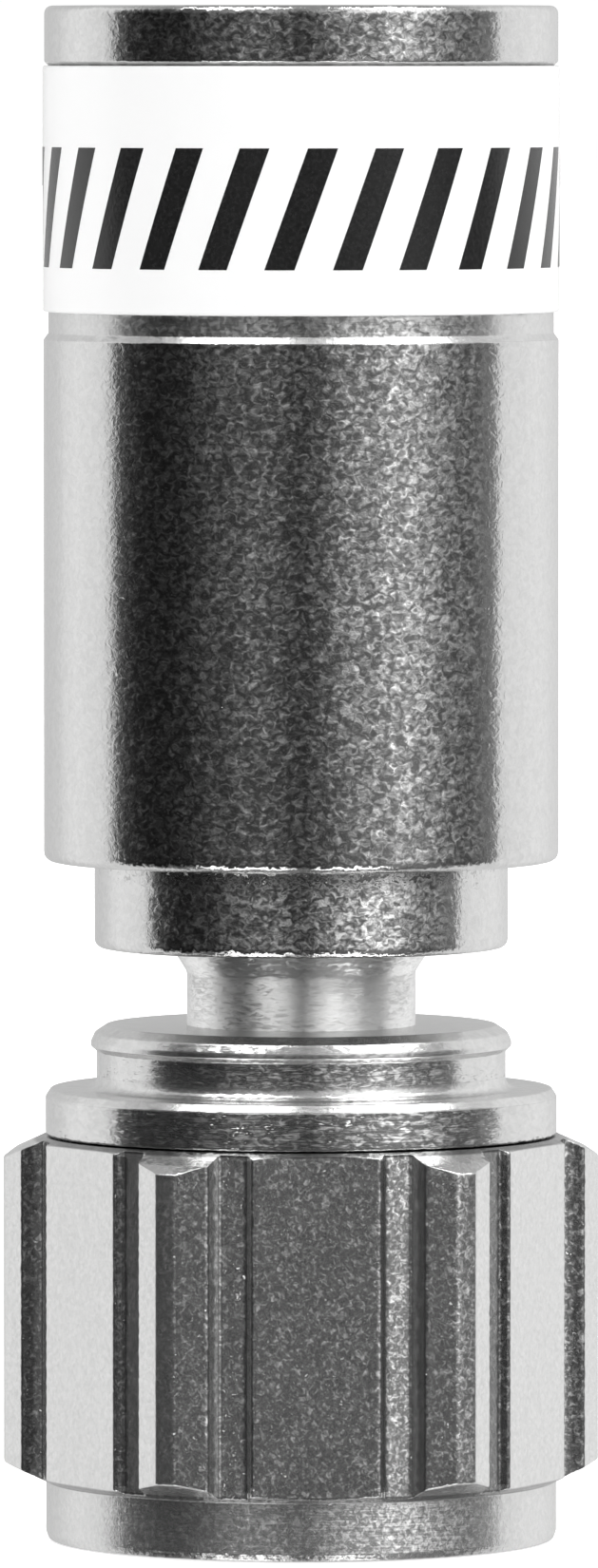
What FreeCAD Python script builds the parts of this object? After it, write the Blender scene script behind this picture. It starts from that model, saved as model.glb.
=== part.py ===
import FreeCAD, Part
import os
import math

os.makedirs("parts", exist_ok=True)

# ---------------------------------------------------------------------------
# Coaxial cable compression plug, screw-on type, in its uncompressed state.
# Millimetres.  +Z is the plug's axis, from the coupling nut (z = 0 is the
# nut's mating face) to the cable entry.  The front of the plug faces -Y.
# ---------------------------------------------------------------------------

V = FreeCAD.Vector

# ---- driving dimensions ----------------------------------------------------
HEX_AF = 11.00            # nut, across flats (7/16 in wrench size)
HEX_TURN_DEG = 3.3        # the front flat is turned this far towards +X
HEX_CORNER_R = 6.23       # corners turned to this radius
NUT_TOP = 8.42            # rear face of the nut
SKIRT_R = 5.345           # round skirt at the mating end
SKIRT_H = 1.23
SKIRT_BEVEL = (0.06, 0.16)  # bevel at its rim: radial, axial
CH_LOW_R = 5.355          # lower chamfer of the hexagon
CH_LOW_Z0 = 1.23
CH_LOW_Z1 = 1.62
CH_TOP_Z0 = 8.02          # upper chamfer, in two steps
CH_MID_R = 5.96
CH_MID_Z = 8.20
CH_TOP_R = 5.40
GROOVE_U = 1.79           # grip grooves: centre from the middle of each flat
GROOVE_W = 0.90           # width at the flat
GROOVE_WALL = 0.15        # width of each sloped wall
GROOVE_DEPTH = 0.30
NUT_COUNTERBORE_R = 4.85  # smooth lead-in, thread, relief, rear wall
NUT_COUNTERBORE_Z = 2.20
THREAD_R = 4.36           # crest radius of the 3/8-32 inside thread
THREAD_Z1 = 5.40
RELIEF_R = 4.80
RELIEF_Z1 = 7.45
NUT_REAR_BORE_R = 3.37
FACE_GROOVE_R0 = 3.90     # seal groove in the nut's rear face
FACE_GROOVE_R1 = 4.70
FACE_GROOVE_Z = 8.08

NUT_SEAL_R = 4.30         # ring seal between nut and collar
NUT_SEAL_SECTION_R = 0.20
NUT_SEAL_Z = 8.29

SPRING_R0 = 3.36          # contact washer between post flange and nut
SPRING_R1 = 4.00
SPRING_Z0 = 7.22
SPRING_T = 0.20

POST_BORE_R = 1.95
POST_Z0 = 6.60            # front face: the reference plane
POST_FLANGE_R = 4.10
POST_FLANGE_T = 0.60
POST_R = 2.395            # shank, and the neck that shows
NECK_Z1 = 11.88
CONE_Z1 = 12.30
POST_SEAT_R = 2.66        # shoulder pressed into the body tube
SEAT_Z1 = 15.20
BARREL_R = 2.25
BARREL_Z1 = 24.60
BARB_R = 2.45
BARB_PITCH = 1.50
BARB_COUNT = 3

FLANGE_R = 5.35           # collar behind the nut
FLANGE_Z0 = 8.50
FLANGE_Z1 = 9.445
FLANGE_BEVEL = (0.11, 0.17)  # upper edge: radial, axial
COLLAR_FILLET = 0.22
COLLAR_R = 4.28
COLLAR_Z1 = 10.22
LIP_R = 4.40
LIP_Z0 = 10.33
LIP_Z1 = 10.43
LIP_MID_R = 4.32          # upper edge of the lip, in two steps
LIP_MID_Z = 10.61
LIP_TOP_R = 4.08
LIP_TOP_Z = 10.77
HUB_R = 3.30              # hub the nut turns on

TUBE_R = 4.325            # body tube
TUBE_Z0 = 12.39
TUBE_Z1 = 23.00
TUBE_BORE_R = 3.75
TUBE_FLOOR_Z = 15.00

SLEEVE_R = 5.38           # compression sleeve
SLEEVE_Z0 = 14.20
SLEEVE_BAND_Z = 25.10     # top of the main barrel
LABEL_GROOVE_R = 5.28
LABEL_GROOVE_Z0 = 25.24
LABEL_GROOVE_Z1 = 30.82
TOP_BAND_R = 5.36
TOP_BAND_Z0 = 30.90
SLEEVE_Z1 = 32.06
SLEEVE_BORE_R = 4.42
SLEEVE_BORE_Z1 = 28.60
ENTRY_R = 3.40            # cable entry
SEAL_GROOVE_R = 3.95      # groove for the cable seal
SEAL_GROOVE_Z0 = 28.60
SEAL_GROOVE_Z1 = 29.20

WEDGE_R0 = 3.38           # grip ring that wedges the jacket
WEDGE_R1 = 3.70
WEDGE_Z0 = 22.40
WEDGE_FLANGE_Z0 = 27.80
WEDGE_FLANGE_Z1 = 28.60

CABLE_SEAL_R = 3.68
CABLE_SEAL_SECTION_R = 0.26
CABLE_SEAL_Z = 28.90

LABEL_R0 = 5.285          # marking ring
LABEL_R1 = 5.40
LABEL_Z0 = 25.68
LABEL_Z1 = 30.81


# ---- helpers ---------------------------------------------------------------
def arc3(p, q, r):
    return Part.Arc(V(*p), V(*q), V(*r)).toShape()


def solid_from_profile(points):
    """Revolve a closed (r, z) outline about Z.  A point may carry a third
    value: the radius of the round that replaces that corner."""
    pts = [(p[0], p[1], p[2] if len(p) > 2 else 0.0) for p in points]
    n = len(pts)
    starts = []
    ends = []
    mids = []
    for i in range(n):
        r, z, f = pts[i]
        if f <= 0:
            starts.append((r, z))
            ends.append((r, z))
            mids.append(None)
            continue
        pr, pz, _ = pts[i - 1]
        nr, nz, _ = pts[(i + 1) % n]
        a = (pr - r, pz - z)
        b = (nr - r, nz - z)
        la = math.hypot(*a)
        lb = math.hypot(*b)
        a = (a[0] / la, a[1] / la)
        b = (b[0] / lb, b[1] / lb)
        half = math.acos(max(-1.0, min(1.0, a[0] * b[0] + a[1] * b[1]))) / 2.0
        t = f / math.tan(half)
        s = (r + a[0] * t, z + a[1] * t)
        e = (r + b[0] * t, z + b[1] * t)
        bis = (a[0] + b[0], a[1] + b[1])
        lbis = math.hypot(*bis)
        bis = (bis[0] / lbis, bis[1] / lbis)
        dist = f / math.sin(half)
        m = (r + bis[0] * (dist - f), z + bis[1] * (dist - f))
        starts.append(s)
        ends.append(e)
        mids.append(m)
    edges = []
    for i in range(n):
        if mids[i] is not None:
            edges.append(arc3((starts[i][0], 0, starts[i][1]),
                              (mids[i][0], 0, mids[i][1]),
                              (ends[i][0], 0, ends[i][1])))
        j = (i + 1) % n
        p = V(ends[i][0], 0, ends[i][1])
        q = V(starts[j][0], 0, starts[j][1])
        if p.distanceToPoint(q) > 1e-7:
            edges.append(Part.makeLine(p, q))
    wire = Part.Wire(Part.__sortEdges__(edges))
    face = Part.Face(wire)
    shape = face.revolve(V(0, 0, 0), V(0, 0, 1), 360)
    if shape.ShapeType != "Solid":
        shape = shape.Solids[0]
    if shape.Volume < 0:
        shape.reverse()
    return shape


def ring(r_centre, r_section, z):
    return Part.makeTorus(r_centre, r_section, V(0, 0, z), V(0, 0, 1))


def polygon_prism(points, z0, z1):
    vs = [V(x, y, z0) for x, y in points]
    vs.append(vs[0])
    return Part.Face(Part.makePolygon(vs)).extrude(V(0, 0, z1 - z0))


def save(name, shape):
    if shape.ShapeType != "Solid":
        solids = shape.Solids
        if len(solids) == 1:
            shape = solids[0]
    if not shape.isValid():
        shape.fix(1e-5, 1e-5, 1e-4)
    shape.exportStep("parts/" + name + ".step")
    return shape


# ---- coupling nut ----------------------------------------------------------
def hexagon_outline():
    """Hexagon with two grip grooves in each flat, in plan."""
    apothem = HEX_AF / 2.0
    half_side = apothem * math.tan(math.radians(30.0))
    half_w = GROOVE_W / 2.0
    pts = []
    for k in range(6):
        # outward normal of this flat; k = 0 is the front flat
        a = math.radians(-90.0 + HEX_TURN_DEG + 60.0 * k)
        nx, ny = math.cos(a), math.sin(a)
        tx, ty = -ny, nx
        local = [(-half_side, 0.0)]
        for c in (-GROOVE_U, GROOVE_U):
            # each groove is cut towards the nut's axis, with its floor square
            # to that direction
            g = math.atan2(c, apothem)
            floor_half = half_w - GROOVE_WALL
            local.append((c - half_w, 0.0))
            for side in (-1.0, 1.0):
                a0 = side * floor_half
                local.append((c + a0 * math.cos(g) - GROOVE_DEPTH * math.sin(g),
                              -a0 * math.sin(g) - GROOVE_DEPTH * math.cos(g)))
            local.append((c + half_w, 0.0))
        for u, d in local:
            pts.append((nx * (apothem + d) + tx * u, ny * (apothem + d) + ty * u))
    return pts


hex_prism = polygon_prism(hexagon_outline(), 0.60, NUT_TOP)
hex_turned = solid_from_profile([
    (3.0, 0.60),
    (CH_LOW_R - 0.2, 0.60),
    (CH_LOW_R, CH_LOW_Z0),
    (HEX_CORNER_R, CH_LOW_Z1),
    (HEX_CORNER_R, CH_TOP_Z0),
    (CH_MID_R, CH_MID_Z),
    (CH_TOP_R, NUT_TOP),
    (3.0, NUT_TOP),
])
hex_body = hex_prism.common(hex_turned)
skirt = solid_from_profile([
    (3.0, 0.0),
    (SKIRT_R - SKIRT_BEVEL[0], 0.0, 0.05),
    (SKIRT_R, SKIRT_BEVEL[1]),
    (SKIRT_R, SKIRT_H),
    (SKIRT_R - 0.1, SKIRT_H + 0.1),
    (3.0, SKIRT_H + 0.1),
])
nut_outer = hex_body.fuse(skirt)
nut_inner = solid_from_profile([
    (0.0, -0.5),
    (NUT_COUNTERBORE_R + 0.15, -0.5),
    (NUT_COUNTERBORE_R + 0.15, 0.0),
    (NUT_COUNTERBORE_R, 0.15),
    (NUT_COUNTERBORE_R, NUT_COUNTERBORE_Z),
    (THREAD_R + 0.35, NUT_COUNTERBORE_Z),
    (THREAD_R, NUT_COUNTERBORE_Z + 0.30),
    (THREAD_R, THREAD_Z1 - 0.30),
    (THREAD_R + 0.35, THREAD_Z1),
    (RELIEF_R, THREAD_Z1),
    (RELIEF_R, RELIEF_Z1),
    (NUT_REAR_BORE_R, RELIEF_Z1),
    (NUT_REAR_BORE_R, NUT_TOP + 0.5),
    (0.0, NUT_TOP + 0.5),
])
nut_ring_bore = Part.makeCylinder(2.9, 12.0, V(0, 0, -1.0))
face_groove = solid_from_profile([
    (FACE_GROOVE_R0, FACE_GROOVE_Z),
    (FACE_GROOVE_R1, FACE_GROOVE_Z),
    (FACE_GROOVE_R1, NUT_TOP + 0.3),
    (FACE_GROOVE_R0, NUT_TOP + 0.3),
])
coupling_nut = nut_outer.cut(nut_ring_bore).cut(nut_inner).cut(face_groove)
save("coupling_nut", coupling_nut)

# ---- ring seal in the nut's rear face --------------------------------------
save("nut_seal", ring(NUT_SEAL_R, NUT_SEAL_SECTION_R, NUT_SEAL_Z))

# ---- contact washer behind the post's flange -------------------------------
save("ground_spring", solid_from_profile([
    (SPRING_R0, SPRING_Z0),
    (SPRING_R1, SPRING_Z0),
    (SPRING_R1, SPRING_Z0 + SPRING_T),
    (SPRING_R0, SPRING_Z0 + SPRING_T),
]))

# ---- post: flange, shank, seat, barbed barrel ------------------------------
post_pts = [
    (POST_BORE_R + 0.12, POST_Z0),
    (POST_FLANGE_R, POST_Z0, 0.08),
    (POST_FLANGE_R, POST_Z0 + POST_FLANGE_T, 0.08),
    (POST_R, POST_Z0 + POST_FLANGE_T),
    (POST_R, NECK_Z1),
    (POST_SEAT_R, CONE_Z1),
    (POST_SEAT_R, SEAT_Z1 - 0.15),
    (POST_SEAT_R - 0.15, SEAT_Z1),
    (BARREL_R, SEAT_Z1),
]
barb_z = BARREL_Z1 - BARB_PITCH * BARB_COUNT
for k in range(BARB_COUNT):
    z = barb_z + k * BARB_PITCH
    post_pts.append((BARREL_R, z))
    post_pts.append((BARB_R, z + 0.02))
    last = k == BARB_COUNT - 1
    if not last:
        post_pts.append((BARREL_R, z + BARB_PITCH * 0.85))
post_pts += [
    (BARREL_R - 0.12, BARREL_Z1),
    (POST_BORE_R, BARREL_Z1),
    (POST_BORE_R, POST_Z0 + 0.12),
]
save("post", solid_from_profile(post_pts))

# ---- flange collar with its nut hub and snap lip ---------------------------
save("flange_collar", solid_from_profile([
    (POST_R, POST_Z0 + POST_FLANGE_T),
    (HUB_R, POST_Z0 + POST_FLANGE_T, 0.06),
    (HUB_R, FLANGE_Z0),
    (FLANGE_R, FLANGE_Z0, 0.07),
    (FLANGE_R, FLANGE_Z1 - FLANGE_BEVEL[1], 0.05),
    (FLANGE_R - FLANGE_BEVEL[0], FLANGE_Z1, 0.05),
    (COLLAR_R, FLANGE_Z1, COLLAR_FILLET),
    (COLLAR_R, COLLAR_Z1),
    (LIP_R, LIP_Z0),
    (LIP_R, LIP_Z1, 0.06),
    (LIP_MID_R, LIP_MID_Z, 0.08),
    (LIP_TOP_R, LIP_TOP_Z, 0.05),
    (POST_R, LIP_TOP_Z),
]))

# ---- body tube -------------------------------------------------------------
save("body_tube", solid_from_profile([
    (POST_SEAT_R, TUBE_Z0),
    (TUBE_R, TUBE_Z0, 0.12),
    (TUBE_R, TUBE_Z1 - 0.25),
    (TUBE_R - 0.15, TUBE_Z1),
    (TUBE_BORE_R + 0.25, TUBE_Z1),
    (TUBE_BORE_R, TUBE_Z1 - 0.60),
    (TUBE_BORE_R, TUBE_FLOOR_Z),
    (POST_SEAT_R, TUBE_FLOOR_Z),
]))

# ---- compression sleeve ----------------------------------------------------
save("compression_sleeve", solid_from_profile([
    (SLEEVE_BORE_R + 0.12, SLEEVE_Z0),
    (SLEEVE_R, SLEEVE_Z0, 0.12),
    (SLEEVE_R, SLEEVE_BAND_Z),
    (LABEL_GROOVE_R, LABEL_GROOVE_Z0),
    (LABEL_GROOVE_R, LABEL_GROOVE_Z1),
    (TOP_BAND_R, TOP_BAND_Z0),
    (TOP_BAND_R, SLEEVE_Z1, 0.16),
    (ENTRY_R + 0.35, SLEEVE_Z1),
    (ENTRY_R, SLEEVE_Z1 - 0.35),
    (ENTRY_R, SEAL_GROOVE_Z1),
    (SEAL_GROOVE_R, SEAL_GROOVE_Z1),
    (SEAL_GROOVE_R, SLEEVE_BORE_Z1),
    (SLEEVE_BORE_R, SLEEVE_BORE_Z1),
    (SLEEVE_BORE_R, SLEEVE_Z0 + 0.12),
]))

# ---- wedge ring ------------------------------------------------------------
save("wedge_ring", solid_from_profile([
    (WEDGE_R0 + 0.10, WEDGE_Z0),
    (WEDGE_R1 - 0.12, WEDGE_Z0),
    (WEDGE_R1, WEDGE_Z0 + 0.40),
    (WEDGE_R1, WEDGE_FLANGE_Z0),
    (SLEEVE_BORE_R, WEDGE_FLANGE_Z0),
    (SLEEVE_BORE_R, WEDGE_FLANGE_Z1),
    (WEDGE_R0 + 0.10, WEDGE_FLANGE_Z1),
    (WEDGE_R0, WEDGE_FLANGE_Z1 - 0.20),
    (WEDGE_R0, WEDGE_Z0 + 0.30),
]))

# ---- cable seal ------------------------------------------------------------
save("cable_seal", ring(CABLE_SEAL_R, CABLE_SEAL_SECTION_R, CABLE_SEAL_Z))

# ---- marking ring ----------------------------------------------------------
save("label_ring", solid_from_profile([
    (LABEL_R0, LABEL_Z0),
    (LABEL_R1, LABEL_Z0, 0.04),
    (LABEL_R1, LABEL_Z1, 0.04),
    (LABEL_R0, LABEL_Z1),
]))
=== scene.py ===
import bpy
import math
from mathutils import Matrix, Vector


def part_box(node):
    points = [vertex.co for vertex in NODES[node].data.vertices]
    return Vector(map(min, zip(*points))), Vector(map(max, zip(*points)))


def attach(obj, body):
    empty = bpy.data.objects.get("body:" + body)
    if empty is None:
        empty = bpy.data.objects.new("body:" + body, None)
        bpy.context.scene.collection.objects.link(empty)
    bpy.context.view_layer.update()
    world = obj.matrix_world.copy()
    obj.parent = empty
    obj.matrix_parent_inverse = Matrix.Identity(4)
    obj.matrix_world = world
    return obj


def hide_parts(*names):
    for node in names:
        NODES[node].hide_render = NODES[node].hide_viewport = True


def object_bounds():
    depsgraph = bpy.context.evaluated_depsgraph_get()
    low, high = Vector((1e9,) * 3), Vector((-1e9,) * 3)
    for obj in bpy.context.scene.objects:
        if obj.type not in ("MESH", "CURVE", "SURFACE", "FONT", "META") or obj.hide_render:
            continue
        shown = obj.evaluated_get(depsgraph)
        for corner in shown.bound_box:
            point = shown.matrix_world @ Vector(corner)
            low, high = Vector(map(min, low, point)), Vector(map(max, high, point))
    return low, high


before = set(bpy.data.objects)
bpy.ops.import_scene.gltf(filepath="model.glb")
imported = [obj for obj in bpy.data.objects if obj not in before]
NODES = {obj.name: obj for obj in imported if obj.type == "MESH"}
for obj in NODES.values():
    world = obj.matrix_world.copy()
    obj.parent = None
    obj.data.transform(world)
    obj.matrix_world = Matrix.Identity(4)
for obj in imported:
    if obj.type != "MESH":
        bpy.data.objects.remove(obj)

BOX_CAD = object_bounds()
MM = 0.001

scene = bpy.context.scene
scene.view_settings.view_transform = "Standard"
scene.view_settings.look = "None"
scene.view_settings.exposure = 0.0
scene.view_settings.gamma = 1.0


def mm_box(node):
    lo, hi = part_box(node)
    return [v / MM for v in lo], [v / MM for v in hi]


# sizes that come from the frame, in millimetres
NUT_LO, NUT_HI = mm_box("coupling_nut")
COL_LO, COL_HI = mm_box("flange_collar")
POST_LO, POST_HI = mm_box("post")
TUBE_LO, TUBE_HI = mm_box("body_tube")
SLV_LO, SLV_HI = mm_box("compression_sleeve")
LAB_LO, LAB_HI = mm_box("label_ring")
WDG_LO, WDG_HI = mm_box("wedge_ring")
CSL_LO, CSL_HI = mm_box("cable_seal")
NSL_LO, NSL_HI = mm_box("nut_seal")
GSP_LO, GSP_HI = mm_box("ground_spring")

# ---------------------------------------------------------------------------
# mesh helpers
# ---------------------------------------------------------------------------


def rounded(points, closed=True, seg=4, support=0.03, steady=False):
    """A polyline of (a, b) points in which each corner with a third value is
    replaced by an arc of that radius.  Long runs get a point close to each
    end, so that the shading of the arcs stays on the arcs.  steady gives the
    same number of points whatever the lengths are."""
    pts = [(p[0], p[1], p[2] if len(p) > 2 else 0.0) for p in points]
    n = len(pts)
    pieces = []
    for i in range(n):
        a, b, f = pts[i]
        if f <= 0 or (not closed and i in (0, n - 1)):
            pieces.append([(a, b)])
            continue
        pa, pb, _ = pts[i - 1]
        na, nb, _ = pts[(i + 1) % n]
        u = (pa - a, pb - b)
        v = (na - a, nb - b)
        lu, lv = math.hypot(*u), math.hypot(*v)
        u = (u[0] / lu, u[1] / lu)
        v = (v[0] / lv, v[1] / lv)
        dot = max(-1.0, min(1.0, u[0] * v[0] + u[1] * v[1]))
        if dot < -0.99999:
            # nearly straight: the arc is a short piece of the line
            t = min(0.02, 0.3 * lu, 0.3 * lv)
            pieces.append([(a + v[0] * t * (2.0 * k / seg - 1.0), b + v[1] * t * (2.0 * k / seg - 1.0))
                           for k in range(seg + 1)])
            continue
        half = math.acos(dot) / 2.0
        t = min(f / math.tan(half), 0.45 * lu, 0.45 * lv)
        f = t * math.tan(half)
        s = (a + u[0] * t, b + u[1] * t)
        e = (a + v[0] * t, b + v[1] * t)
        w = (u[0] + v[0], u[1] + v[1])
        lw = math.hypot(*w)
        d = f / math.sin(half)
        c = (a + w[0] / lw * d, b + w[1] / lw * d)
        a0 = math.atan2(s[1] - c[1], s[0] - c[0])
        a1 = math.atan2(e[1] - c[1], e[0] - c[0])
        da = (a1 - a0 + math.pi) % (2 * math.pi) - math.pi
        pieces.append([(c[0] + f * math.cos(a0 + da * k / seg),
                        c[1] + f * math.sin(a0 + da * k / seg)) for k in range(seg + 1)])
    out = []
    for i in range(n):
        out += pieces[i]
        if i == n - 1 and not closed:
            break
        p = pieces[i][-1]
        q = pieces[(i + 1) % n][0]
        length = math.hypot(q[0] - p[0], q[1] - p[1])
        if steady:
            t = min(support / length, 0.3) if length > 1e-9 else 0.3
            out.append((p[0] + (q[0] - p[0]) * t, p[1] + (q[1] - p[1]) * t))
            out.append((q[0] - (q[0] - p[0]) * t, q[1] - (q[1] - p[1]) * t))
        elif length > 4 * support:
            t = support / length
            out.append((p[0] + (q[0] - p[0]) * t, p[1] + (q[1] - p[1]) * t))
            steps = int(length / 1.2)
            for k in range(1, steps):
                w = k / steps
                out.append((p[0] + (q[0] - p[0]) * w, p[1] + (q[1] - p[1]) * w))
            out.append((q[0] - (q[0] - p[0]) * t, q[1] - (q[1] - p[1]) * t))
    return out


def mesh_object(name, verts, faces, sharp_deg=38.0):
    me = bpy.data.meshes.new(name)
    me.from_pydata([(x * MM, y * MM, z * MM) for x, y, z in verts], [], faces)
    me.validate()
    me.polygons.foreach_set("use_smooth", [True] * len(me.polygons))
    me.set_sharp_from_angle(angle=math.radians(sharp_deg))
    me.update()
    ob = bpy.data.objects.new(name, me)
    scene.collection.objects.link(ob)
    return ob


def outward(ob):
    """Turns the faces outwards."""
    import bmesh
    bm = bmesh.new()
    bm.from_mesh(ob.data)
    bmesh.ops.recalc_face_normals(bm, faces=bm.faces)
    bm.to_mesh(ob.data)
    bm.free()
    ob.data.set_sharp_from_angle(angle=math.radians(38.0))
    return ob


def lathe(name, profile, n=240):
    """Closed (r, z) outline turned about Z."""
    m = len(profile)
    verts = []
    for i in range(n):
        t = 2 * math.pi * i / n
        c, s = math.cos(t), math.sin(t)
        verts += [(r * c, r * s, z) for r, z in profile]
    faces = []
    for i in range(n):
        a, b = i * m, ((i + 1) % n) * m
        for j in range(m):
            k = (j + 1) % m
            faces.append((a + j, b + j, b + k, a + k))
    return outward(mesh_object(name, verts, faces))


def torus_profile(rc, rs, zc, n=20):
    return [(rc + rs * math.cos(2 * math.pi * k / n), zc + rs * math.sin(2 * math.pi * k / n))
            for k in range(n)]


def smooth01(x):
    x = max(0.0, min(1.0, x))
    return x * x * (3 - 2 * x)


# ---------------------------------------------------------------------------
# coupling nut
# ---------------------------------------------------------------------------
HEX_AP = 5.50
HEX_TURN = 3.3
HEX_R = NUT_HI[0]
NUT_TOP = NUT_HI[2] + 0.03
G_U, G_W, G_WALL, G_D = 1.79, 0.90, 0.15, 0.30
THREAD_R = 4.36
THREAD_PITCH = 25.4 / 32


def nut_outline():
    """Plan of the nut: hexagon, grip grooves and turned corners, with small
    rounds, as (x, y) points in order of angle."""
    reach = math.sqrt(HEX_R ** 2 - HEX_AP ** 2)
    pts = []
    for k in range(6):
        a = math.radians(-90.0 + HEX_TURN + 60.0 * k)
        nx, ny = math.cos(a), math.sin(a)
        tx, ty = -ny, nx
        local = [(-reach, 0.0, 0.30)]
        for c in (-G_U, G_U):
            g = math.atan2(c, HEX_AP)
            half = G_W / 2
            flr = half - G_WALL
            local += [(c - half, 0.0, 0.10),
                      (c - flr * math.cos(g) - G_D * math.sin(g), flr * math.sin(g) - G_D * math.cos(g), 0.10),
                      (c + flr * math.cos(g) - G_D * math.sin(g), -flr * math.sin(g) - G_D * math.cos(g), 0.10),
                      (c + half, 0.0, 0.10)]
        local.append((reach, 0.0, 0.30))
        for u, d, f in local:
            pts.append((nx * (HEX_AP + d) + tx * u, ny * (HEX_AP + d) + ty * u, f))
        # turned corner
        a0 = math.atan2(reach, HEX_AP)
        span = math.radians(60) - 2 * a0
        for q in (1, 2, 3):
            b = a + a0 + span * q / 4
            pts.append((HEX_R * math.cos(b), HEX_R * math.sin(b), 0.0))
    line = rounded(pts, closed=True, seg=3, support=0.03)
    # long runs need points often enough for the curved edge of the chamfer
    out = []
    for i, p in enumerate(line):
        q = line[(i + 1) % len(line)]
        out.append(p)
        length = math.hypot(q[0] - p[0], q[1] - p[1])
        steps = max(1, int(round(length / 0.26)))
        for k in range(1, steps):
            out.append((p[0] + (q[0] - p[0]) * k / steps, p[1] + (q[1] - p[1]) * k / steps))
    return out


def thread_radius(theta, z, z0, z1):
    """Inside thread, right-hand, running out at both ends."""
    depth = 0.40
    turn = (z / THREAD_PITCH - theta / (2 * math.pi)) % 1.0
    tri = 1.0 - abs(2.0 * turn - 1.0)
    prof = max(0.0, min(1.0, (tri - 0.10) / 0.78))
    # at its ends the thread runs out into the relief and the lead-in
    fade = smooth01((z - z0) / 0.30)
    fade1 = smooth01((z1 - z) / 0.30)
    base = THREAD_R + depth * prof
    return max(base, THREAD_R + depth * (1 - min(fade, fade1)))


N_ROWS = 88


def wave(z, pitch, phase):
    """An uneven ripple, between -1 and 1."""
    a = 2 * math.pi * z / pitch + phase
    return 0.6 * math.sin(a + 0.9 * math.sin(a * 0.37 + phase)) + 0.4 * math.sin(a * 1.73 + 2.1 * phase)


def chatter(x, y, z):
    """How far the outer face stands off its drawn place at (x, y, z): ripples
    on the floors of the grooves and a slight wander along their edges."""
    theta = math.atan2(y, x)
    k = round((math.degrees(theta) + 90.0 - HEX_TURN) / 60.0)
    a = math.radians(-90.0 + HEX_TURN + 60.0 * k)
    d = x * math.cos(a) + y * math.sin(a)
    u = -x * math.sin(a) + y * math.cos(a)
    side = 1 if u > 0 else -1
    phase = 1.7 * k + 0.9 * side
    off = abs(abs(u) - G_U)
    if off > G_W / 2 + 0.10:
        return 0.0
    ends = smooth01((z - 1.7) / 0.4) * smooth01((8.0 - z) / 0.4)
    if d < HEX_AP - 0.14:
        # the floor: fine ripples that run slightly askew
        return ends * 0.0022 * wave(z + 0.5 * u, 0.26, phase)
    # walls and edges
    near = 1.0 - min(1.0, abs(off - G_W / 2) / 0.12)
    return ends * near * 0.011 * wave(z, 0.31, phase + 3.0 * (u > side * G_U))


def build_nut():
    outline = nut_outline()
    cols = []
    t_low = 0.4457
    n_thread = 40
    z_th0, z_th1 = 2.20, 5.40
    for x, y in outline:
        rho = math.hypot(x, y)
        theta = math.atan2(y, x)
        z_lo = 1.23 + (rho - 5.355) * t_low
        if rho > 5.961:
            z_hi = 8.20 - (rho - 5.96) * 0.6667
            mid = (5.96, 8.20)
        else:
            z_hi = NUT_TOP - (rho - 5.40) * 0.4464
            mid = ((rho + 5.40) / 2, (z_hi + NUT_TOP) / 2)
        # the edge of the chamfer is worn round only at the corners
        worn = 0.02 + 0.045 * smooth01((rho - 6.08) / 0.10)
        prof = rounded([
            (4.86, 0.15),
            (5.00, 0.0, 0.03),
            (5.285, 0.0, 0.05),
            (5.345, 0.16, 0.08),
            (5.345, 1.22, 0.03),
            (rho, z_lo, 0.06),
            (rho, z_hi, worn),
            (mid[0], mid[1], 0.03),
            (5.40, NUT_TOP, 0.05),
            (4.70, NUT_TOP, 0.03),
            (4.70, 8.08),
            (3.90, 8.08),
            (3.90, NUT_TOP, 0.03),
            (3.37, NUT_TOP, 0.04),
            (3.37, 7.45, 0.04),
            (4.80, 7.45, 0.05),
            (4.80, 5.40),
        ], closed=False, seg=4, support=0.03, steady=True)
        # the long outer run gets rows, with the chatter of the groove cutter
        gap, at = max((abs(prof[j + 1][1] - prof[j][1]) if abs(prof[j][0] - rho) < 1e-6 and abs(prof[j + 1][0] - rho) < 1e-6
                       else 0.0, j) for j in range(len(prof) - 1))
        run0, run1 = prof[at][1], prof[at + 1][1]
        for k in range(1, N_ROWS):
            z = run0 + (run1 - run0) * k / N_ROWS
            prof.insert(at + k, (rho + chatter(x, y, z), z))
        for k in range(n_thread + 1):
            z = z_th1 + (z_th0 - z_th1) * k / n_thread
            prof.append((thread_radius(theta, z, z_th0, z_th1), z))
        prof.append((4.85, z_th0 - 0.005))
        prof.append((4.85, z_th0 - 0.04))
        prof.append((4.85, 1.2))
        prof.append((4.85, 0.19))
        cols.append([(r * math.cos(theta), r * math.sin(theta), z) for r, z in prof])
    m = len(cols[0])
    assert all(len(c) == m for c in cols)
    verts = [v for c in cols for v in c]
    faces = []
    n = len(cols)
    for i in range(n):
        a, b = i * m, ((i + 1) % n) * m
        for j in range(m):
            k = (j + 1) % m
            faces.append((a + j, b + j, b + k, a + k))
    return outward(mesh_object("nut_shell", verts, faces))


nut = build_nut()
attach(nut, "nut")
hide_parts("coupling_nut")

nut_ring = lathe("nut_o_ring", torus_profile((NSL_HI[2] + NSL_LO[2]) * 0 + 4.30, 0.20, (NSL_LO[2] + NSL_HI[2]) / 2), n=160)
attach(nut_ring, "nut")
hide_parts("nut_seal")


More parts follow.
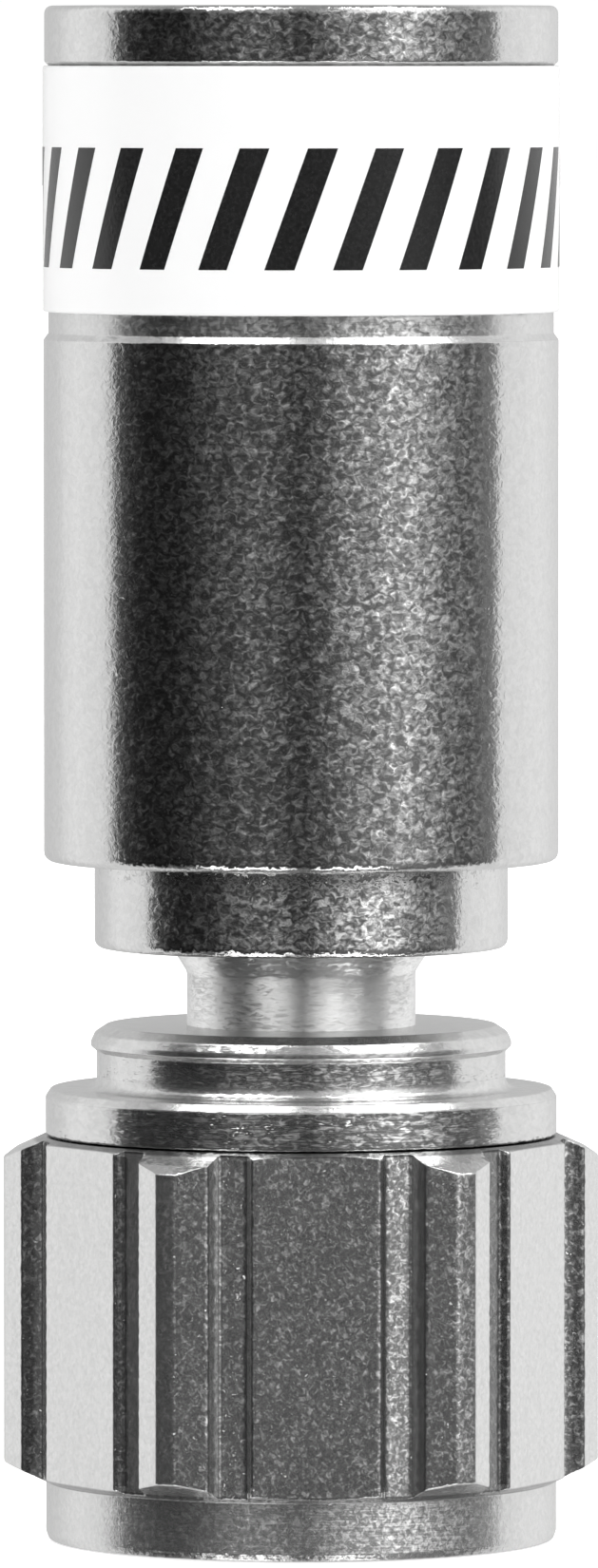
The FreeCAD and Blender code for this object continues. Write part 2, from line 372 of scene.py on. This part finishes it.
# ---------------------------------------------------------------------------
# contact spring: a thin wavy ring
# ---------------------------------------------------------------------------
def build_spring():
    z0, z1 = GSP_LO[2], GSP_HI[2]
    t = 0.09
    mid, amp = (z0 + z1) / 2, (z1 - z0 - t) / 2
    n = 240
    verts, faces = [], []
    for i in range(n):
        a = 2 * math.pi * i / n
        z = mid + amp * math.cos(4 * a)
        c, s = math.cos(a), math.sin(a)
        for r, dz in rounded([(3.37, -t / 2, 0.02), (3.98, -t / 2, 0.02), (3.98, t / 2, 0.02), (3.37, t / 2, 0.02)], seg=2, support=0.01):
            verts.append((r * c, r * s, z + dz))
    m = len(verts) // n
    for i in range(n):
        a, b = i * m, ((i + 1) % n) * m
        for j in range(m):
            k = (j + 1) % m
            faces.append((a + j, b + j, b + k, a + k))
    return outward(mesh_object("contact_spring", verts, faces))


spring = build_spring()
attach(spring, "plug_body")
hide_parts("ground_spring")

# ---------------------------------------------------------------------------
# post
# ---------------------------------------------------------------------------
pz0 = POST_LO[2]
pz1 = POST_HI[2]
post_pts = [
    (2.07, pz0, 0.02), (4.10, pz0, 0.08), (4.10, pz0 + 0.60, 0.08), (2.395, pz0 + 0.60),
    (2.395, 11.88, 0.20), (2.66, 12.30, 0.03), (2.66, 15.05, 0.04), (2.51, 15.20, 0.04), (2.25, 15.20),
]
for k in range(3):
    z = pz1 - 4.5 + 1.5 * k
    post_pts += [(2.25, z), (2.45, z + 0.02, 0.02)]
    if k < 2:
        post_pts.append((2.25, z + 1.5 * 0.85))
post_pts += [(2.13, pz1, 0.05), (1.95, pz1, 0.03), (1.95, pz0 + 0.12, 0.04)]
post = lathe("post_turned", rounded(post_pts), n=240)
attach(post, "plug_body")
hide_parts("post")

# ---------------------------------------------------------------------------
# collar: flange, cylinder, snap lip, hub
# ---------------------------------------------------------------------------
collar = lathe("collar_turned", rounded([
    (2.397, 7.20), (3.30, 7.20, 0.06), (3.30, 8.475),
    (5.35, 8.475, 0.06), (5.35, 9.275, 0.10), (5.24, 9.445, 0.06), (4.28, 9.445, 0.22),
    (4.28, 10.22, 0.03), (4.40, 10.33, 0.04), (4.40, 10.43, 0.10), (4.32, 10.61, 0.10), (4.08, COL_HI[2], 0.06),
    (2.397, COL_HI[2]),
]), n=256)
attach(collar, "plug_body")
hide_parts("flange_collar")

# ---------------------------------------------------------------------------
# body tube
# ---------------------------------------------------------------------------
tube = lathe("body_tube_turned", rounded([
    (2.662, TUBE_LO[2], 0.03), (4.325, TUBE_LO[2], 0.18), (4.325, TUBE_HI[2] - 0.25, 0.04), (4.175, TUBE_HI[2], 0.04),
    (4.00, TUBE_HI[2], 0.04), (3.75, TUBE_HI[2] - 0.60, 0.05), (3.75, 15.00), (2.662, 15.00, 0.03),
]), n=256)
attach(tube, "plug_body")
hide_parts("body_tube")

# ---------------------------------------------------------------------------
# compression sleeve
# ---------------------------------------------------------------------------
sz0, sz1 = SLV_LO[2], SLV_HI[2]
sleeve = lathe("sleeve_turned", rounded([
    (4.52, sz0, 0.04), (5.38, sz0, 0.19), (5.38, 25.10, 0.05), (5.28, 25.24, 0.03),
    (5.28, 30.82, 0.03), (5.36, 30.90, 0.05), (5.36, sz1, 0.16), (3.75, sz1, 0.05), (3.40, sz1 - 0.35, 0.06),
    (3.40, 29.20, 0.04), (3.95, 29.20), (3.95, 28.60, 0.03), (4.422, 28.60), (4.422, sz0 + 0.12, 0.04),
]), n=288)
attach(sleeve, "sleeve")
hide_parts("compression_sleeve")

wedge = lathe("wedge_turned", rounded([
    (3.48, WDG_LO[2], 0.04), (3.58, WDG_LO[2], 0.04), (3.70, WDG_LO[2] + 0.40, 0.05), (3.70, 27.80, 0.05),
    (4.398, 27.80, 0.05), (4.398, 28.59, 0.05), (3.48, 28.59, 0.04), (3.38, 28.40, 0.04), (3.38, WDG_LO[2] + 0.30, 0.04),
]), n=200)
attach(wedge, "sleeve")
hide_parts("wedge_ring")

cseal = lathe("cable_o_ring", torus_profile(3.68, 0.26, (CSL_LO[2] + CSL_HI[2]) / 2), n=160)
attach(cseal, "sleeve")
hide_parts("cable_seal")

# ---------------------------------------------------------------------------
# label ring and its print
# ---------------------------------------------------------------------------
lz0, lz1 = LAB_LO[2], LAB_HI[2]
LAB_R = 5.395
label = lathe("label_band", rounded([
    (5.285, lz0, 0.02), (LAB_R, lz0, 0.05), (LAB_R, lz1, 0.05), (5.285, lz1, 0.02),
]), n=288)
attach(label, "sleeve")
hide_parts("label_ring")


def build_print():
    """A plain row of slanted bars printed round the ring."""
    z0, z1 = 26.62, 29.12
    count = 24
    slant = 0.9           # mm of lean over the bar's height
    width = 0.62
    r0, r1 = LAB_R - 0.002, LAB_R + 0.004
    verts, faces = [], []
    rows, cols = 10, 5
    for b in range(count):
        base = 2 * math.pi * b / count
        start = len(verts)
        for layer_r in (r1, r0):
            for i in range(rows + 1):
                v = i / rows
                z = z0 + (z1 - z0) * v
                for j in range(cols + 1):
                    arc = (j / cols - 0.5) * width + (v - 0.5) * slant
                    a = base + arc / r1
                    verts.append((layer_r * math.cos(a), layer_r * math.sin(a), z))
        w = cols + 1
        top = start
        bot = start + (rows + 1) * w
        for i in range(rows):
            for j in range(cols):
                p = top + i * w + j
                faces.append((p, p + 1, p + w + 1, p + w))
                q = bot + i * w + j
                faces.append((q, q + w, q + w + 1, q + 1))
        rim = [i for i in range(w)] + [i * w + cols for i in range(1, rows + 1)]
        rim += [rows * w + j for j in range(cols - 1, -1, -1)] + [i * w for i in range(rows - 1, 0, -1)]
        for k, p in enumerate(rim):
            q = rim[(k + 1) % len(rim)]
            faces.append((top + p, bot + p, bot + q, top + q))
    return outward(mesh_object("label_print", verts, faces))


print_marks = build_print()
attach(print_marks, "sleeve")


# ---------------------------------------------------------------------------
# materials
# ---------------------------------------------------------------------------
class Nodes:
    """Short helper for building node trees."""

    def __init__(self, tree):
        self.t = tree
        self.t.nodes.clear()

    def add(self, kind, **props):
        n = self.t.nodes.new(kind)
        for k, v in props.items():
            setattr(n, k, v)
        return n

    def link(self, a, b):
        self.t.links.new(a, b)

    def math(self, op, a, b=None, c=None, clamp=False):
        n = self.add("ShaderNodeMath", operation=op, use_clamp=clamp)
        for i, v in enumerate((a, b, c)):
            if v is None:
                continue
            if isinstance(v, (int, float)):
                n.inputs[i].default_value = v
            else:
                self.link(v, n.inputs[i])
        return n.outputs[0]


def new_material(name):
    m = bpy.data.materials.new(name)
    m.use_nodes = True
    return m, Nodes(m.node_tree)


def coords(nt, scale=(1000.0, 1000.0, 1000.0)):
    tc = nt.add("ShaderNodeTexCoord")
    mp = nt.add("ShaderNodeMapping")
    mp.inputs["Scale"].default_value = scale
    nt.link(tc.outputs["Object"], mp.inputs["Vector"])
    return mp.outputs["Vector"]


def smooth_between(nt, value, lo, hi):
    n = nt.add("ShaderNodeMapRange", interpolation_type="SMOOTHSTEP")
    n.inputs["From Min"].default_value = lo
    n.inputs["From Max"].default_value = hi
    nt.link(value, n.inputs["Value"])
    return n.outputs["Result"]


def groove_shade_mask(nt, vec):
    """How much painted shade darkens the nut's colour: 1 on the steep walls
    of the nut's grip grooves and just over their edges, about as much in
    the narrow corners at both ends of the hexagon, 0 elsewhere, with an
    uneven outline."""
    sp = nt.add("ShaderNodeSeparateXYZ")
    nt.link(vec, sp.inputs[0])
    x, y, z = sp.outputs[0], sp.outputs[1], sp.outputs[2]
    sixth = math.pi / 3
    turn = nt.math("SUBTRACT", nt.math("ARCTAN2", y, x), math.radians(-90.0 + HEX_TURN))
    b = nt.math("SUBTRACT", turn, nt.math("MULTIPLY", nt.math("ROUND", nt.math("DIVIDE", turn, sixth)), sixth))
    rho = nt.math("SQRT", nt.math("ADD", nt.math("MULTIPLY", x, x), nt.math("MULTIPLY", y, y)))
    off = nt.math("ABSOLUTE", nt.math("SUBTRACT", nt.math("ABSOLUTE", nt.math("MULTIPLY", rho, nt.math("SINE", b))), G_U))
    n = nt.add("ShaderNodeTexNoise")
    n.inputs["Scale"].default_value = 4.5
    n.inputs["Detail"].default_value = 2.0
    nt.link(vec, n.inputs["Vector"])
    off = nt.math("MULTIPLY_ADD", nt.math("SUBTRACT", n.outputs["Fac"], 0.5), 0.16, off)
    half = G_W / 2
    # painted shade on the steep walls of the grooves
    wall = nt.math("MULTIPLY", smooth_between(nt, off, half - G_WALL - 0.03, half - G_WALL + 0.04),
                   nt.math("SUBTRACT", 1.0, smooth_between(nt, off, half, half + 0.06)))
    reach = nt.math("GREATER_THAN", nt.math("MULTIPLY", rho, nt.math("COSINE", b)), HEX_AP - G_D - 0.08)
    ends = nt.math("MULTIPLY", nt.math("GREATER_THAN", z, 1.45), nt.math("LESS_THAN", z, 8.30))
    wall = nt.math("MULTIPLY", wall, nt.math("MULTIPLY", reach, ends))
    # painted shade in the narrow corners: low where the flats meet the lower chamfer, above z 8.34 at the top under
    # the flange, only where the flats lie close in
    low = nt.math("MULTIPLY", nt.math("MULTIPLY", smooth_between(nt, z, 1.20, 1.23), 0.7),
                  nt.math("SUBTRACT", 1.0, smooth_between(nt, z, 1.32, 1.37)))
    tight = nt.math("SUBTRACT", 1.0, smooth_between(nt, rho, 5.62, 5.85))
    corner = nt.math("MULTIPLY", nt.math("ADD", low, smooth_between(nt, z, 8.34, 8.39)), tight)
    return nt.math("MAXIMUM", wall, nt.math("MULTIPLY", corner, 1.4))


def nickel(name, colour=0.66, rough=0.10, rough_var=0.03, mottle=0.9, grain=7.0, tilt=0.55, drawn=1.0,
           marks=0.0, marks_scale=6.0, brushed=0.0, zone=None, metal=1.0, lean_up=0.0, painted_wall_shade=0.0):
    """Nickel plate: a mottled skin a tenth of a millimetre across, over marks
    left by turning.  tilt leans the skin up and down, drawn below 1 draws the
    mottling out round the axis, brushed spreads the reflection across the
    turning marks.  zone is (lower z, upper z, marks, brushed, rough, lean_up,
    tilt) of a band that is turned, with an eighth number for all above that
    z; lean_up leans a whole skin upwards; the wall shade, above 0, paints
    shade into the colour on the walls of the nut's grooves and in the narrow
    corners at both ends of the hexagon."""
    m, nt = new_material(name)
    out = nt.add("ShaderNodeOutputMaterial")
    bsdf = nt.add("ShaderNodeBsdfPrincipled")
    bsdf.inputs["Metallic"].default_value = metal
    vec = coords(nt)
    inside = None
    if zone:
        sp = nt.add("ShaderNodeSeparateXYZ")
        nt.link(vec, sp.inputs[0])
        inside = nt.math("MULTIPLY", nt.math("GREATER_THAN", sp.outputs[2], zone[0]),
                         nt.math("LESS_THAN", sp.outputs[2], zone[1]))
        if len(zone) > 7:
            inside = nt.math("MAXIMUM", inside, nt.math("GREATER_THAN", sp.outputs[2], zone[7]))

    def zoned(value, other):
        """value outside the zone, other inside it"""
        if inside is None:
            return value
        mixer = nt.add("ShaderNodeMix", data_type="FLOAT")
        nt.link(inside, mixer.inputs[0])
        for socket, v in ((mixer.inputs[2], value), (mixer.inputs[3], other)):
            if isinstance(v, (int, float)):
                socket.default_value = v
            else:
                nt.link(v, socket)
        return mixer.outputs[0]

    if brushed > 0 or (zone and zone[3] > 0):
        tangent = nt.add("ShaderNodeTangent", direction_type="RADIAL", axis="Z")
        nt.link(tangent.outputs["Tangent"], bsdf.inputs["Tangent"])
        bsdf.inputs["Anisotropic Rotation"].default_value = 0.25
        amount = zoned(brushed, zone[3] if zone else 0.0)
        if isinstance(amount, (int, float)):
            bsdf.inputs["Anisotropic"].default_value = amount
        else:
            nt.link(amount, bsdf.inputs["Anisotropic"])
    skin_vec = vec if drawn == 1.0 else coords(nt, (1000.0 * drawn, 1000.0 * drawn, 1000.0))

    def noise(scale, vector, detail=2.0, rough_=0.55, distortion=0.0):
        n = nt.add("ShaderNodeTexNoise")
        n.inputs["Scale"].default_value = scale
        n.inputs["Detail"].default_value = detail
        n.inputs["Roughness"].default_value = rough_
        n.inputs["Distortion"].default_value = distortion
        nt.link(vector, n.inputs["Vector"])
        return n.outputs["Fac"]

    fine = noise(grain, skin_vec, distortion=0.8)
    lean = noise(grain * 1.1, skin_vec, distortion=0.9)
    blot = noise(grain * 0.30, skin_vec)
    # height, in millimetres
    h = nt.math("MULTIPLY", nt.math("ADD", fine, nt.math("MULTIPLY", blot, 0.6)), 0.010 * mottle)
    if marks > 0 or zone:
        ring = coords(nt, (90.0, 90.0, 1000.0))
        tm = noise(marks_scale, ring, detail=3.0, rough_=0.6)
        h = nt.math("ADD", h, nt.math("MULTIPLY", nt.math("MULTIPLY", tm, 0.010), zoned(marks, zone[2] if zone else 0.0)))
    bump = nt.add("ShaderNodeBump")
    bump.inputs["Strength"].default_value = 1.0
    bump.inputs["Distance"].default_value = 0.001
    nt.link(h, bump.inputs["Height"])
    up_down = nt.add("ShaderNodeCombineXYZ")
    swing = nt.math("MULTIPLY", nt.math("ADD", lean, -0.5), zoned(tilt, zone[6] if zone else 0.0))
    nt.link(nt.math("ADD", swing, zoned(lean_up, zone[5] if zone else 0.0)), up_down.inputs[2])
    leaned = nt.add("ShaderNodeVectorMath", operation="ADD")
    nt.link(bump.outputs["Normal"], leaned.inputs[0])
    nt.link(up_down.outputs[0], leaned.inputs[1])
    unit = nt.add("ShaderNodeVectorMath", operation="NORMALIZE")
    nt.link(leaned.outputs[0], unit.inputs[0])
    nt.link(unit.outputs[0], bsdf.inputs["Normal"])
    # roughness and tone vary with the blotches
    rr = nt.add("ShaderNodeMapRange")
    rr.inputs["From Min"].default_value = 0.3
    rr.inputs["From Max"].default_value = 0.7
    rr.inputs["To Min"].default_value = rough - rough_var
    rr.inputs["To Max"].default_value = rough + rough_var
    nt.link(blot, rr.inputs["Value"])
    nt.link(zoned(rr.outputs["Result"], zone[4] if zone else rough), bsdf.inputs["Roughness"])
    ramp = nt.add("ShaderNodeValToRGB")
    ramp.color_ramp.elements[0].position = 0.30
    ramp.color_ramp.elements[1].position = 0.70
    lo, hi = colour * 0.935, colour * 1.065
    ramp.color_ramp.elements[0].color = (lo, lo, lo * 0.995, 1)
    ramp.color_ramp.elements[1].color = (hi, hi, hi * 0.995, 1)
    nt.link(fine, ramp.inputs["Fac"])
    shade = ramp.outputs["Color"]
    # painted shade: the colour is darkened on the nut's groove walls and in its narrow end corners
    if painted_wall_shade > 0:
        shaded_colour = nt.add("ShaderNodeVectorMath", operation="SCALE")
        nt.link(shade, shaded_colour.inputs[0])
        nt.link(nt.math("MULTIPLY_ADD", groove_shade_mask(nt, vec), -painted_wall_shade, 1.0), shaded_colour.inputs["Scale"])
        shade = shaded_colour.outputs[0]
    nt.link(shade, bsdf.inputs["Base Color"])
    nt.link(bsdf.outputs["BSDF"], out.inputs["Surface"])
    return m


def plain(name, base, vary, rough, scale, bump_mm, metallic=0.0, coat=0.0, ior=1.5):
    m, nt = new_material(name)
    out = nt.add("ShaderNodeOutputMaterial")
    bsdf = nt.add("ShaderNodeBsdfPrincipled")
    bsdf.inputs["Metallic"].default_value = metallic
    bsdf.inputs["IOR"].default_value = ior
    bsdf.inputs["Coat Weight"].default_value = coat
    bsdf.inputs["Coat Roughness"].default_value = 0.08
    vec = coords(nt)
    noise = nt.add("ShaderNodeTexNoise")
    noise.inputs["Scale"].default_value = scale
    noise.inputs["Detail"].default_value = 3.0
    nt.link(vec, noise.inputs["Vector"])
    ramp = nt.add("ShaderNodeValToRGB")
    ramp.color_ramp.elements[0].position = 0.3
    ramp.color_ramp.elements[1].position = 0.7
    ramp.color_ramp.elements[0].color = tuple(c * (1 - vary) for c in base) + (1,)
    ramp.color_ramp.elements[1].color = tuple(min(1.0, c * (1 + vary)) for c in base) + (1,)
    nt.link(noise.outputs["Fac"], ramp.inputs["Fac"])
    nt.link(ramp.outputs["Color"], bsdf.inputs["Base Color"])
    rr = nt.add("ShaderNodeMapRange")
    rr.inputs["From Min"].default_value = 0.3
    rr.inputs["From Max"].default_value = 0.7
    rr.inputs["To Min"].default_value = rough * 0.85
    rr.inputs["To Max"].default_value = min(1.0, rough * 1.15)
    nt.link(noise.outputs["Fac"], rr.inputs["Value"])
    nt.link(rr.outputs["Result"], bsdf.inputs["Roughness"])
    bump = nt.add("ShaderNodeBump")
    bump.inputs["Distance"].default_value = bump_mm * MM
    bump.inputs["Strength"].default_value = 1.0
    nt.link(noise.outputs["Fac"], bump.inputs["Height"])
    nt.link(bump.outputs["Normal"], bsdf.inputs["Normal"])
    nt.link(bsdf.outputs["BSDF"], out.inputs["Surface"])
    return m


M_SLEEVE = nickel("nickel_sleeve_plate", mottle=0.55, grain=7.0, drawn=0.8, tilt=1.0,
                  zone=(25.11, 25.72, 1.0, 0.5, 0.28, 0.09, 1.0))
M_TUBE = nickel("nickel_tube_plate", mottle=0.6, grain=7.4, drawn=0.8, marks=0.4, tilt=1.2, lean_up=0.08)
# the nut's wall shade paints shade into its colour on the groove walls and in the narrow corners at both ends of the
# hexagon
M_NUT = nickel("nickel_nut_plate", rough=0.20, rough_var=0.04, mottle=0.5, grain=8.6, tilt=1.25,
               zone=(-0.1, 1.24, 2.0, 0.65, 0.26, 0.10, 1.1), metal=0.95, painted_wall_shade=0.50)
M_COLLAR = nickel("nickel_collar_turned", rough=0.13, rough_var=0.03, mottle=0.5, grain=7.5, drawn=0.5, tilt=1.35, marks=2.0,
                  marks_scale=9.0, brushed=0.3, zone=(9.26, 9.72, 0.5, 0.1, 0.22, 0.09, 0.50, 10.24),
                  metal=0.98)
M_POST = nickel("nickel_post_satin", colour=0.88, rough=0.34, mottle=0.3, grain=14.0, drawn=0.25, tilt=1.8, brushed=0.80,
                metal=0.93, lean_up=0.52)
M_LABEL = plain("label_plastic", (0.845, 0.845, 0.845), 0.003, 0.22, 0.5, 0.001)
M_INK = plain("print_ink", (0.012, 0.012, 0.012), 0.4, 0.22, 14.0, 0.004)
M_RUBBER = plain("seal_rubber_black", (0.02, 0.02, 0.02), 0.2, 0.55, 9.0, 0.006)
M_WEDGE = plain("wedge_acetal", (0.78, 0.77, 0.73), 0.03, 0.38, 4.0, 0.003)
M_BRONZE = plain("spring_bronze_strip", (0.70, 0.47, 0.30), 0.06, 0.24, 8.0, 0.002, metallic=1.0)

for ob, m in ((nut, M_NUT), (nut_ring, M_RUBBER), (spring, M_BRONZE), (post, M_POST), (collar, M_COLLAR),
              (tube, M_TUBE), (sleeve, M_SLEEVE), (wedge, M_WEDGE), (cseal, M_RUBBER), (label, M_LABEL),
              (print_marks, M_INK)):
    ob.data.materials.clear()
    ob.data.materials.append(m)

# ---------------------------------------------------------------------------
# floor
# ---------------------------------------------------------------------------
floor_me = bpy.data.meshes.new("floor")
S = 3.0
floor_me.from_pydata([(-S, -S, -0.00002), (S, -S, -0.00002), (S, S, -0.00002), (-S, S, -0.00002)], [], [(0, 1, 2, 3)])
floor = bpy.data.objects.new("floor", floor_me)
scene.collection.objects.link(floor)
m, nt = new_material("floor_pale")
out = nt.add("ShaderNodeOutputMaterial")
bsdf = nt.add("ShaderNodeBsdfPrincipled")
bsdf.inputs["Base Color"].default_value = (0.92, 0.92, 0.92, 1)
bsdf.inputs["Roughness"].default_value = 0.9
bsdf.inputs["Specular IOR Level"].default_value = 0.0
geo = nt.add("ShaderNodeNewGeometry")
clear = nt.add("ShaderNodeBsdfTransparent")
mix = nt.add("ShaderNodeMixShader")
lift = nt.add("ShaderNodeEmission")
seen = nt.add("ShaderNodeLightPath")
nt.link(nt.math("MULTIPLY", seen.outputs["Is Camera Ray"], 0.55), lift.inputs["Strength"])
both = nt.add("ShaderNodeAddShader")
nt.link(bsdf.outputs["BSDF"], both.inputs[0])
nt.link(lift.outputs["Emission"], both.inputs[1])
nt.link(geo.outputs["Backfacing"], mix.inputs["Fac"])
nt.link(both.outputs["Shader"], mix.inputs[1])
nt.link(clear.outputs["BSDF"], mix.inputs[2])
nt.link(mix.outputs["Shader"], out.inputs["Surface"])
floor_me.materials.append(m)
floor.visible_glossy = False

# ---------------------------------------------------------------------------
# studio: a white tent behind and beside the object, a dark front with soft
# strips, two soft boxes overhead.  Fixed in the frame.
# ---------------------------------------------------------------------------
# brightness round the horizon: angle from the front (degrees, + to the
# right), value
RING = [
    (-156, .71), (-138, .77), (-132, .82), (-120, .85), (-110, .83), (-102, .82), (-98, .79), (-94, .72),
    (-91, .37), (-87.4, .27), (-84, .216), (-80, .17), (-74, .14), (-68, .13), (-60, .144), (-54, .163),
    (-50, .19), (-44, .243), (-40, .27), (-34, .284), (-28, .32), (-23.4, .346), (-18, .356), (-13.2, .33),
    (-8, .305), (-3, .249), (0, .245), (2, .259), (7.2, .30), (10, .35), (14.8, .40), (20, .48), (25.2, .514),
    (33, .535), (38, .61), (44, .657), (49.4, .68), (55, .607), (60, .58), (66.8, .48), (73, .424), (80, .388),
    (86, .417), (93.4, .45), (97.2, .49), (100.4, .80), (108, .83), (120, .84), (130, .85), (142, .83),
    (152, .79), (168, .73),
]


def to_linear(s):
    return s / 12.92 if s <= 0.04045 else ((s + 0.055) / 1.055) ** 2.4


F0 = 0.66
world = bpy.data.worlds.new("studio")
scene.world = world
world.use_nodes = True
wt = Nodes(world.node_tree)
w_out = wt.add("ShaderNodeOutputWorld")
tc = wt.add("ShaderNodeTexCoord")
sep = wt.add("ShaderNodeSeparateXYZ")
wt.link(tc.outputs["Generated"], sep.inputs[0])
X, Y, Z = sep.outputs
ang = wt.math("ARCTAN2", X, wt.math("MULTIPLY", Y, -1.0))
pos = wt.math("MULTIPLY_ADD", ang, 1.0 / (2 * math.pi), 0.5)
curve = wt.add("ShaderNodeFloatCurve")
cm = curve.mapping
cm.clip_min_y = 0.0
cm.clip_max_y = 4.0
c0 = cm.curves[0]
ring_pts = [(-180, .66)] + RING + [(180, .66)]
while len(c0.points) < len(ring_pts):
    c0.points.new(0.5, 0.5)
for p, (a, v) in zip(c0.points, ring_pts):
    level = 0.80 if abs(a) < 95 else 1.0
    p.location = (a / 360.0 + 0.5, level * to_linear(v) / F0)
    p.handle_type = "VECTOR"
cm.update()
wt.link(pos, curve.inputs["Value"])
horizon = curve.outputs["Value"]
elev = wt.math("ARCSINE", Z)


def step_node(value, lo, hi):
    n = wt.add("ShaderNodeMapRange", interpolation_type="SMOOTHSTEP")
    n.inputs["From Min"].default_value = lo
    n.inputs["From Max"].default_value = hi
    wt.link(value, n.inputs["Value"])
    return n.outputs["Result"]


def patch(direction, outer, inner):
    """1 inside a round patch of the sky, 0 outside."""
    d = Vector(direction).normalized()
    dot = wt.add("ShaderNodeVectorMath", operation="DOT_PRODUCT")
    wt.link(tc.outputs["Generated"], dot.inputs[0])
    dot.inputs[1].default_value = d
    return step_node(dot.outputs["Value"], math.cos(math.radians(outer)), math.cos(math.radians(inner)))


front = step_node(wt.math("MULTIPLY", Y, -1.0), -0.25, 0.25)
up_front = step_node(elev, math.radians(32), math.radians(60))
up_back = step_node(elev, math.radians(30), math.radians(58))
up = wt.math("ADD", wt.math("MULTIPLY", up_front, front),
             wt.math("MULTIPLY", up_back, wt.math("SUBTRACT", 1.0, front)))
down = step_node(wt.math("MULTIPLY", elev, -1.0), math.radians(20), math.radians(44))
sky = wt.math("ADD", 0.38, wt.math("ADD", wt.math("MULTIPLY", patch((-0.34, -0.24, 0.91), 19, 9), 6.0),
                                   wt.math("MULTIPLY", patch((0.46, -0.16, 0.87), 20, 10), 9.0)))
below_front = wt.math("ADD", 0.14, wt.math("ADD", wt.math("MULTIPLY", patch((-0.34, -0.545, -0.766), 20, 12), 2.2),
                                           wt.math("MULTIPLY", patch((0.32, -0.557, -0.766), 17, 10), 2.2)))
below = wt.math("ADD", wt.math("MULTIPLY", below_front, front),
                wt.math("MULTIPLY", wt.math("SUBTRACT", 1.0, front), 0.85))
side = wt.math("SUBTRACT", 1.0, wt.math("ADD", up, down))
# the dark front gets lighter upwards
high = wt.math("ADD", elev, math.radians(3))
rise = wt.math("MULTIPLY", wt.math("MINIMUM", wt.math("MAXIMUM", high, math.radians(-16)), math.radians(28)), 2.9)
floor_side = wt.math("MULTIPLY", wt.math("MINIMUM", wt.math("MAXIMUM", wt.math("MULTIPLY_ADD", high, -1.0, math.radians(-16)), 0.0),
                                         math.radians(20)), 3.0)
steep = wt.math("ADD", rise, floor_side)
lift_up = wt.math("POWER", 2.71828, wt.math("MULTIPLY", steep, step_node(wt.math("MULTIPLY", Y, -1.0), -0.12, 0.12)))
horizon = wt.math("MULTIPLY", horizon, lift_up)
glossy = wt.math("ADD", wt.math("MULTIPLY", horizon, side),
                 wt.math("ADD", wt.math("MULTIPLY", sky, up), wt.math("MULTIPLY", down, below)))
lp = wt.add("ShaderNodeLightPath")
mix1 = wt.add("ShaderNodeMix", data_type="FLOAT")
wt.link(lp.outputs["Is Diffuse Ray"], mix1.inputs[0])
wt.link(glossy, mix1.inputs[2])
wt.link(wt.math("MULTIPLY_ADD", X, 0.22, 0.60), mix1.inputs[3])
mix2 = wt.add("ShaderNodeMix", data_type="FLOAT")
wt.link(lp.outputs["Is Camera Ray"], mix2.inputs[0])
wt.link(mix1.outputs[0], mix2.inputs[2])
mix2.inputs[3].default_value = 1.02
bg = wt.add("ShaderNodeBackground")
wt.link(mix2.outputs[0], bg.inputs["Strength"])
bg.inputs["Color"].default_value = (1, 1, 1, 1)
wt.link(bg.outputs["Background"], w_out.inputs["Surface"])

sun = bpy.data.lights.new("overhead", "SUN")
sun.energy = 2.0
sun.angle = math.radians(120)
sun_ob = bpy.data.objects.new("overhead", sun)
scene.collection.objects.link(sun_ob)
sun_ob.visible_glossy = False

# ---------------------------------------------------------------------------
# camera
# ---------------------------------------------------------------------------
height = (BOX_CAD[1].z - BOX_CAD[0].z) / MM
cam_data = bpy.data.cameras.new("camera")
cam = bpy.data.objects.new("camera", cam_data)
scene.collection.objects.link(cam)
scene.camera = cam
CAM = Vector((-0.045, -307.0, 31.2)) * MM
AIM = Vector((-0.045, 0.0, 15.8)) * MM
cam.location = CAM
cam.rotation_mode = "QUATERNION"
cam.rotation_quaternion = (AIM - CAM).to_track_quat("-Z", "Y")
cam_data.sensor_width = 36.0
cam_data.sensor_fit = "AUTO"
cam_data.lens = 36.0 * (AIM - CAM).length / MM / 32.8
cam_data.clip_start = 0.01
cam_data.clip_end = 20.0
cam_data.dof.use_dof = False
